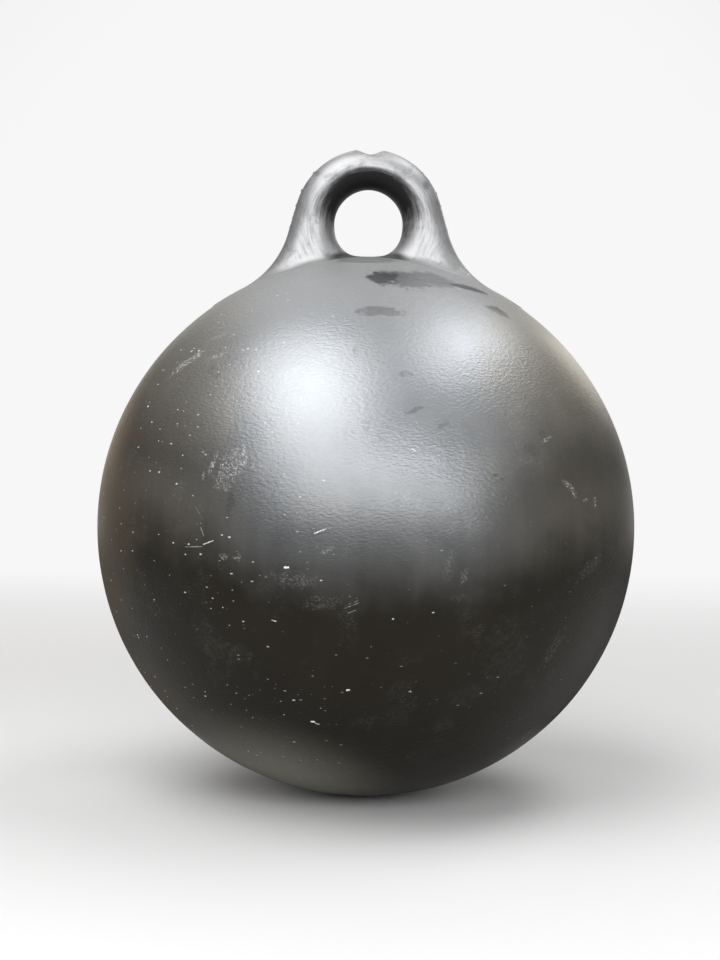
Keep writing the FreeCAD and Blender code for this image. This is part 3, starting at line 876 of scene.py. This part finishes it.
def ball_plastic():
    """Black blown plastic with a painted sheen: lighter and more reflective above, dark below, with its
    knocks, dusty crown and painted reflections.
    """
    material, bench, shader, place = new_finish("ball_plastic_finish")
    x, y, z = bench.split(place)
    tone = bench.place(RUN_MARKS, Position=place)
    # Painted sheen: lighter and more reflective towards the top, darker at the sides and the bottom.
    sideways = bench.ease(bench.maths("ABSOLUTE", x), 45, 115, 0.0, 17.0)
    sideways = bench.maths("ADD", sideways, bench.ease(x, -40, -75, 0.0, 8.0))
    height = bench.maths("MULTIPLY_ADD", tone, 24.0, bench.maths("SUBTRACT", z, sideways))
    painted_sheen = bench.ease(height, -37, 88)

    pale = scratches(bench, place, PALE_SCRATCHES)
    dark = scratches(bench, place, DARK_SCRATCHES_AND_SHADOW_LINE)
    # Dark smudges, and painted shade in the crease at the eye's foot.
    smudge_and_crease_shade = patches(bench, place, SMUDGES_AND_CREASE_SHADE)
    broken = bench.ease(bench.noise(place, 1.7, 4.0, 0.65), 0.34, 0.60, 0.15, 1.0)
    smudge_and_crease_shade = bench.maths("MULTIPLY", smudge_and_crease_shade, bench.maths("MAXIMUM", broken, bench.ease(z, 100, 125)))
    rub = bench.place(FINE_RUB, Position=place)
    zones = patches(bench, place, RUBBED_PATCHES)
    stray = bench.ease(bench.noise(place, 26.0, 3.0, 0.6), 0.56, 0.72, 0.0, 0.12)
    rubbed = bench.maths("MULTIPLY", rub, bench.maths("MAXIMUM", zones, stray))
    rubbed = bench.maths("MINIMUM", bench.maths("MULTIPLY", rubbed, 1.25), 1.0)
    clouded = bench.maths("MULTIPLY", patches(bench, place, CLOUDED_PATCHES),
                          bench.ease(bench.noise(place, 3.5, 4.0, 0.65), 0.35, 0.75))
    left = bench.ease(x, 30, -90, 0.25, 1.0)
    many = bench.place(FLECKS, Position=place, Spacing=3.0, Size=0.14, Share=0.62)
    big = bench.place(FLECKS, Position=place, Spacing=7.0, Size=0.07, Share=0.20)
    gathered = bench.ease(bench.noise(place, 30.0, 2.0), 0.38, 0.60, 0.15, 0.8)
    specks = bench.maths("MAXIMUM", bench.maths("MULTIPLY", many, bench.maths("MULTIPLY", gathered, left)),
                         bench.maths("MULTIPLY", big, left))
    fine = bench.place(FLECKS, Position=place, Spacing=1.7, Size=0.15, Share=0.34)
    scattered = bench.ease(bench.noise(place, 21.0, 3.0, 0.6), 0.44, 0.62, 0.05, 0.7)
    fine = bench.maths("MULTIPLY", fine, bench.maths("MULTIPLY", scattered, left))
    specks = bench.maths("MAXIMUM", specks, fine)
    specks = bench.maths("MAXIMUM", specks, chips(bench, place, scattered_chips(CHIPPED_ZONES)))
    salt = bench.maths("MAXIMUM", pale, specks)

    # Dust on the crown, which also paints the grey reflection that the top catches: lighter towards the top.
    crown = bench.ease(z, 96, 146)
    grain = bench.ease(bench.noise(place, 2.2, 4.0, 0.7), 0.25, 0.8, 0.55, 1.0)
    dust_and_top_sheen = bench.maths("MULTIPLY", crown, grain)
    dust_and_top_sheen = bench.maths("MULTIPLY", dust_and_top_sheen, 0.75)
    dust_and_top_sheen = bench.maths("MULTIPLY", dust_and_top_sheen, bench.maths("SUBTRACT", 1.0, smudge_and_crease_shade))

    greyed = bench.maths("MULTIPLY_ADD", tone, 1.2, bench.ease(z, -105, -45, 0.2, 0.7), clamp=True)
    black = bench.blend(greyed, DEEP_BLACK, GREY_BLACK)
    # Painted warm reflections at the sides of the painted sheen.
    warm_sides = bench.ease(bench.maths("ABSOLUTE", x), 40, 112)
    warmth = bench.maths("MULTIPLY_ADD", tone, 0.6, warm_sides, clamp=True)
    colour = bench.blend(painted_sheen, black, bench.blend(warmth, PAINTED_SHEEN_COOL, PAINTED_SHEEN_WARM))
    # Painted warm reflection along the left and lower-left rim.
    rim = bench.maths("MULTIPLY_ADD", x, -0.99, bench.maths("MULTIPLY", z, 0.10))
    low_rim = bench.maths("MULTIPLY_ADD", x, -0.76, bench.maths("MULTIPLY", z, -0.65))
    rim_reflection_mask = bench.maths("MAXIMUM", bench.ease(rim, 108, 147), bench.ease(low_rim, 122, 150, 0.0, 0.6))
    rim_reflection_mask = bench.maths("MULTIPLY", rim_reflection_mask, bench.maths("MULTIPLY_ADD", tone, 1.2, 0.8, clamp=True))
    colour = bench.blend(rim_reflection_mask, colour, PAINTED_RIM_REFLECTION)
    # Painted glow of the floor, reflected low on the ball's left.
    floor_glow_mask = bench.ease(bench.vector("DISTANCE", place, FLOOR_GLOW_MIDDLE), 68, 6)
    colour = bench.blend(floor_glow_mask, colour, PAINTED_FLOOR_GLOW)
    colour = bench.blend(dust_and_top_sheen, colour, DUST_AND_TOP_SHEEN)
    colour = bench.blend(bench.maths("MULTIPLY", clouded, 0.13), colour, HAZE)
    # Darkens the smudges and the painted crease shade.
    smudge_and_shade_shown = bench.maths("MULTIPLY", smudge_and_crease_shade, bench.maths("MULTIPLY", painted_sheen, 0.75))
    colour = bench.blend(smudge_and_shade_shown, colour, SMUDGE_AND_SHADE_BLACK)
    # Dark scratches, and the painted shadow line under one pale scratch.
    colour = bench.blend(bench.maths("MULTIPLY", dark, 0.9), colour, GROOVE_AND_SHADOW_BLACK)
    rub_shown = bench.maths("MULTIPLY", rubbed, bench.ease(z, -20, 40, 0.24, 0.9))
    colour = bench.blend(rub_shown, colour, PALE_RUB)
    colour = bench.blend(salt, colour, SALT)
    bench.feed(shader.inputs["Base Color"], colour)

    solid = bench.maths("MAXIMUM", bench.maths("MAXIMUM", dust_and_top_sheen, salt), bench.maths("MULTIPLY", rubbed, 0.6))
    # The painted sheen also drives Metallic, so the top reflects more.
    metal = bench.ease(painted_sheen, 0.0, 0.5, 0.0, 0.9)
    bench.feed(shader.inputs["Metallic"], bench.maths("MULTIPLY", metal, bench.maths("SUBTRACT", 1.0, solid)))
    rough = bench.maths("MULTIPLY_ADD", tone, 0.10, 0.40)
    rough = bench.maths("MULTIPLY_ADD", dust_and_top_sheen, 0.22, rough)
    rough = bench.maths("MULTIPLY_ADD", smudge_and_crease_shade, -0.10, rough)
    seam = bench.ease(bench.maths("ABSOLUTE", y), 95, 20)
    low_band = bench.maths("MULTIPLY", bench.ease(z, 5, -25), bench.ease(z, -116, -98))
    seam = bench.maths("MULTIPLY", seam, low_band)
    rough = bench.maths("MULTIPLY_ADD", seam, 0.35, rough)
    bench.feed(shader.inputs["Roughness"], bench.maths("MULTIPLY_ADD", salt, 0.2, rough))
    shader.inputs["IOR"].default_value = 1.22

    ripple = bench.place(HAMMERED_SKIN, Position=place, Period=1.05, Length=2.0)
    bench.feed(shader.inputs["Normal"], bump(bench, ripple, 0.15))
    return material


def eye_plastic():
    """The eye's smoother, glossier plastic, with a painted sheen where it faces up and painted shade where it
    faces down.
    """
    material, bench, shader, place = new_finish("eye_plastic_finish")
    x, y, z = bench.split(place)
    facing = bench.split(bench.node("ShaderNodeNewGeometry").outputs["Normal"])[2]
    rise = bench.maths("SUBTRACT", z, EYE_CENTRE)
    turn = bench.maths("ARCTAN2", x, rise)
    squares = bench.maths("ADD", bench.maths("MULTIPLY", x, x), bench.maths("MULTIPLY", rise, rise))
    reach = bench.maths("SQRT", squares)
    swept = bench.join(bench.maths("MULTIPLY", turn, 2.6), bench.maths("MULTIPLY", reach, 0.8),
                       bench.maths("MULTIPLY", y, 0.6))
    drawn = bench.noise(swept, 1.0, 4.0, 0.6)
    cloud = bench.noise(place, 12.0, 3.0, 0.6)
    # Painted sheen where the eye faces up, painted shade where it faces down.
    up_facing_sheen = bench.maths("MULTIPLY_ADD", bench.maths("SUBTRACT", drawn, 0.5), 0.5, facing)
    up_facing_sheen = bench.ease(up_facing_sheen, -0.28, 0.26)
    above = bench.maths("SUBTRACT", bench.vector("LENGTH", place), BALL_RADIUS)
    foot = bench.ease(bench.maths("MULTIPLY_ADD", bench.maths("SUBTRACT", cloud, 0.5), 4.0, above), 3.6, 0.4)
    # Painted shade in the crease under the bore, at the eye's root.
    under = bench.ease(bench.maths("ABSOLUTE", x), 26, 16)
    under = bench.maths("MULTIPLY", under, bench.ease(above, 5.5, 2.5))
    rub = bench.place(FINE_RUB, Position=place)
    specks = bench.place(FLECKS, Position=place, Spacing=4.5, Size=0.10, Share=0.24)
    worn = bench.maths("MULTIPLY", rub, bench.ease(cloud, 0.50, 0.66, 0.05, 0.55))
    worn = bench.maths("MULTIPLY", worn, up_facing_sheen)
    colour = bench.blend(bench.ease(drawn, 0.3, 0.7), EYE_SHEEN, EYE_BRIGHT_SHEEN)
    smudged = bench.ease(bench.noise(place, 9.0, 4.0, 0.6), 0.52, 0.68, 0.0, 0.55)
    colour = bench.blend(smudged, colour, EYE_SMUDGE)
    # Painted sheen where the eye faces up, painted shade in black plastic where it faces down.
    colour = bench.blend(up_facing_sheen, BLACK_PLASTIC, colour)
    colour = bench.blend(foot, colour, FOOT_DUST)
    # Painted shade in the crease under the bore.
    colour = bench.blend(bench.maths("MULTIPLY", under, 0.85), colour, BLACK_PLASTIC)
    colour = bench.blend(bench.maths("MULTIPLY", worn, 0.5), colour, PALE_RUB)
    colour = bench.blend(specks, colour, SALT)
    bench.feed(shader.inputs["Base Color"], colour)
    solid = bench.maths("MAXIMUM", bench.maths("MULTIPLY", worn, 0.5), specks)
    solid = bench.maths("MAXIMUM", solid, bench.maths("MULTIPLY", foot, 0.5))
    # The painted sheen also drives Metallic where the eye faces up.
    metal = bench.ease(up_facing_sheen, 0.0, 0.3, 0.0, 0.88)
    bench.feed(shader.inputs["Metallic"], bench.maths("MULTIPLY", metal, bench.maths("SUBTRACT", 1.0, solid)))
    rough = bench.maths("MULTIPLY_ADD", bench.maths("SUBTRACT", drawn, 0.5), 0.12, 0.48)
    rough = bench.maths("MULTIPLY_ADD", foot, 0.06, rough)
    bench.feed(shader.inputs["Roughness"], bench.maths("MULTIPLY_ADD", worn, 0.15, rough))
    shader.inputs["IOR"].default_value = 1.33
    ripple = bench.place(HAMMERED_SKIN, Position=place, Period=4.0, Length=1.2)
    skin = bump(bench, ripple, 0.09)
    bench.feed(shader.inputs["Normal"], bump(bench, drawn, 0.018, skin))
    return material


def trimmed_flash():
    """The torn and trimmed plastic that the mould squeezed out, dark with pale broken edges."""
    material, bench, shader, place = new_finish("trimmed_flash_finish")
    torn = bench.noise(place, 2.4, 4.0, 0.65)
    broken = bench.noise(place, 0.8, 2.0, 0.6)
    colour = bench.blend(bench.ease(torn, 0.35, 0.7), FLASH_DARK, FLASH_GREY)
    pale_edges = bench.maths("MULTIPLY", bench.ease(broken, 0.60, 0.70), bench.ease(torn, 0.52, 0.62))
    bench.feed(shader.inputs["Base Color"], bench.blend(pale_edges, colour, PALE_RUB))
    bench.feed(shader.inputs["Roughness"], bench.maths("MULTIPLY_ADD", torn, 0.3, 0.35))
    bench.feed(shader.inputs["Normal"], bump(bench, torn, 0.1))
    shader.inputs["IOR"].default_value = 1.45
    return material


ball_finish = ball_plastic()
eye_finish = eye_plastic()
flash_finish = trimmed_flash()

for side, label in ((-1, "front"), (1, "back")):
    points, quads = half_ball(side)
    make_piece(f"ball_{label}_skin", points, quads, ball_finish, [f"shell_{label}"])
points, quads = eye_skin()
make_piece("rope_eye_skin", points, quads, eye_finish, ["rope_eye"])
for side, label in ((1, "right"), (-1, "left")):
    points, quads = flash_ribbon(side, BURRS[label], seed=5 + side)
    make_piece(f"trimmed_flash_{label}", points, quads, flash_finish,
               [f"parting_flash_{label}"])
points, faces = pinch_scar()
make_piece("bottom_pinch_scar", points, faces, flash_finish, ["bottom_pinch_weld"])


# ---------------------------------------------------------------- camera, floor and lamps
CAMERA_DISTANCE = 1.0985
CAMERA_HEIGHT = 0.085
CAMERA_PITCH = -3.07
CAMERA_YAW = 0.18
CAMERA_ROLL = 0.5
CAMERA_LENS = 73.2
CAMERA_FILM = 36


def place_camera():
    """Level with the eye, looking slightly down on the ball."""
    data = bpy.data.cameras.new("view")
    data.sensor_fit = "VERTICAL"
    data.sensor_height = CAMERA_FILM
    data.lens = CAMERA_LENS
    camera = bpy.data.objects.new("view", data)
    bpy.context.scene.collection.objects.link(camera)
    turn = Matrix.Rotation(math.radians(CAMERA_YAW), 4, "Z")
    tip = Matrix.Rotation(math.radians(90 + CAMERA_PITCH), 4, "X")
    roll = Matrix.Rotation(math.radians(CAMERA_ROLL), 4, "Z")
    back = math.sqrt(CAMERA_DISTANCE ** 2 - CAMERA_HEIGHT ** 2)
    camera.matrix_world = Matrix.Translation((0, -back, CAMERA_HEIGHT)) @ turn @ tip @ roll
    bpy.context.scene.camera = camera


def soft_lamp(name, toward, long_way, size, brightness, colour=(1, 1, 1), distance=1.6):
    """A soft box that faces the float from a direction, its second size along the long way."""
    data = bpy.data.lights.new(name, "AREA")
    data.shape = "ELLIPSE"
    data.size, data.size_y = size
    data.energy = brightness * math.pi * (math.pi / 4 * size[0] * size[1])
    data.color = colour
    lamp = bpy.data.objects.new(name, data)
    lamp.visible_camera = False
    bpy.context.scene.collection.objects.link(lamp)
    back = Vector(toward).normalized()
    side = Vector(long_way).cross(back).normalized()
    turn = Matrix((side, back.cross(side), back)).transposed().to_4x4()
    lamp.matrix_world = Matrix.Translation(back * distance) @ turn


FLOOR_REACH = 12.0
FLOOR_NEAR, FLOOR_FAR = 0.3, 1.3
FLOOR_SQUASH = 0.45
FLOOR_GREY = (0.72, 0.72, 0.72, 1)
FLOOR_ROUGHNESS = 0.9
WALL_DIM = 0.25
WALL_LOW = 0.09
WALL_BRIGHT = 0.93
BACKDROP_EDGE = math.cos(math.radians(30))
BACKDROP_FULL = math.cos(math.radians(11))


def studio_wall():
    """The studio's soft grey surround, brighter on the backdrop behind the float."""
    group, bench, source, sink = shared_effect(
        "studio_wall", [("Direction", PLACE, None)], "Colour", "NodeSocketColor")
    way = bench.vector("NORMALIZE", source["Direction"])
    _, y, z = bench.split(way)
    behind = bench.ease(y, BACKDROP_EDGE, BACKDROP_FULL)
    around = bench.ease(z, -0.05, 0.5, WALL_LOW, WALL_DIM)
    grey = bench.between(behind, around, WALL_BRIGHT)
    bench.feed(sink, bench.join(grey, grey, grey))
    return group


def lay_floor(wall):
    """A pale floor under the ball that runs out into the studio wall."""
    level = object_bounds()[0].z
    corners = [(x * FLOOR_REACH, y * FLOOR_REACH, level) for x, y in ((-1, -1), (1, -1), (1, 1), (-1, 1))]
    mesh = bpy.data.meshes.new("floor")
    mesh.from_pydata(corners, [], [(0, 1, 2, 3)])
    material = bpy.data.materials.new("floor_paint")
    material.use_nodes = True
    bench = Bench(material.node_tree)
    shader = material.node_tree.nodes["Principled BSDF"]
    shader.inputs["Base Color"].default_value = FLOOR_GREY
    shader.inputs["Roughness"].default_value = FLOOR_ROUGHNESS
    where = bench.node("ShaderNodeTexCoord").outputs["Object"]
    x, y, _ = bench.split(where)
    level_place = bench.join(bench.maths("MULTIPLY", x, FLOOR_SQUASH), y, 0.0)
    glow = bench.node("ShaderNodeEmission")
    bench.feed(glow.inputs["Color"], bench.place(wall, Direction=level_place))
    mix = bench.node("ShaderNodeMixShader")
    bench.feed(mix.inputs[0], bench.ease(bench.vector("LENGTH", level_place), FLOOR_NEAR, FLOOR_FAR))
    bench.feed(mix.inputs[1], shader.outputs[0])
    bench.feed(mix.inputs[2], glow.outputs[0])
    bench.feed(material.node_tree.nodes["Material Output"].inputs["Surface"], mix.outputs[0])
    mesh.materials.append(material)
    floor = bpy.data.objects.new("floor", mesh)
    bpy.context.scene.collection.objects.link(floor)
    floor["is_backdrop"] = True


def light_world(wall):
    """The same wall all round, as the world."""
    world = bpy.data.worlds.new("studio")
    bpy.context.scene.world = world
    world.use_nodes = True
    bench = Bench(world.node_tree)
    where = bench.node("ShaderNodeTexCoord").outputs["Generated"]
    bench.feed(world.node_tree.nodes["Background"].inputs["Color"], bench.place(wall, Direction=where))


STUDIO_WALL = studio_wall()
place_camera()
lay_floor(STUDIO_WALL)
light_world(STUDIO_WALL)
ALONG_X, ALONG_Y, UPRIGHT = (1, 0, 0), (0, 1, 0), (0, 0, 1)
soft_lamp("main_soft_box", (-0.36, -0.38, 0.85), ALONG_Y, (1.18, 2.0), 2.6)
soft_lamp("main_core", (-0.29, -0.50, 0.82), ALONG_Y, (1.0, 1.2), 1.05)
soft_lamp("right_soft_box", (0.44, 0.10, 0.88), (0.2, 1, 0), (0.6, 1.6), 3.5)
soft_lamp("front_soft_box", (0.07, -0.93, 0.31), ALONG_X, (0.82, 2.7), 4.2, distance=1.7)
soft_lamp("front_left_box", (-0.58, -0.70, 0.42), ALONG_X, (0.6, 0.7), 1.4)
soft_lamp("front_right_box", (0.59, -0.79, 0.12), UPRIGHT, (0.5, 0.65), 2.3)
soft_lamp("right_card", (0.78, -0.40, 0.48), UPRIGHT, (0.3, 0.8), 0.85)
soft_lamp("top_soft_box", (-0.10, 0.62, 0.78), ALONG_X, (0.7, 1.4), 1.1)
soft_lamp("back_right_card", (0.48, 0.82, 0.33), UPRIGHT, (0.42, 0.45), 2.1, colour=(1, 0.97, 0.88))
soft_lamp("back_left_card", (-0.57, 0.80, 0.12), (-0.82, -0.57, 0), (0.22, 0.6), 0.6,
          colour=(1, 0.80, 0.56), distance=0.9)
bpy.context.scene.view_settings.view_transform = "Standard"
